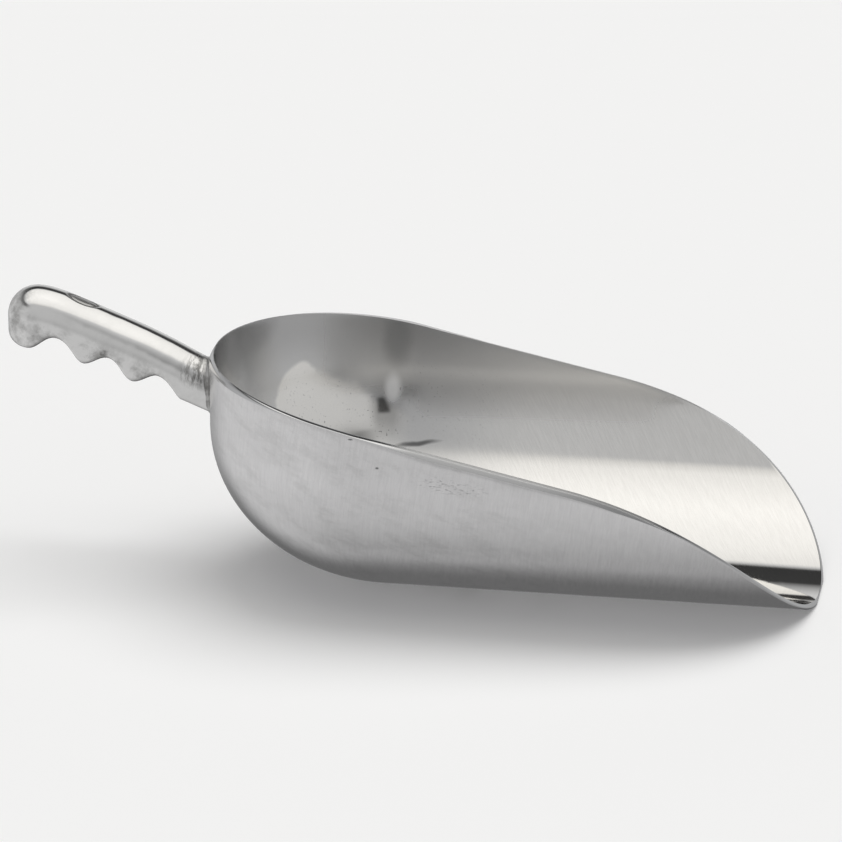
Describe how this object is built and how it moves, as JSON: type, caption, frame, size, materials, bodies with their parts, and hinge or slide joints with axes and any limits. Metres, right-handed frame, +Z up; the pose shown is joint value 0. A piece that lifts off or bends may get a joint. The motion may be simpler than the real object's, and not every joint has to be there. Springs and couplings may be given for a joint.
{
  "type": "ice scoop",
  "caption": "Cast aluminium ice scoop: a deep round-backed trough with a slanted open front and a finger-grooved handle.",
  "frame": {"origin": "bottom centre of the scoop's box, on the plane that the ground flat under the bowl stands on", "axes": "+X towards the pouring lip, along the scoop; +Z up with the scoop standing; +Y to the left of someone looking along +X, and the scoop is the same on both sides of Y = 0"},
  "size_m": [0.3322, 0.15, 0.1115],
  "materials": {
    "bowl_metal": "brushed satin, finer and brighter inside",
    "handle_metal": "tumbled and lightly polished casting",
    "weld_metal": "dull filler metal, a little darkened"
  },
  "bodies": {
    "root": {"bowl": "bowl_metal", "handle": "handle_metal", "weld_bead": "weld_metal"}
  },
  "joints": []
}
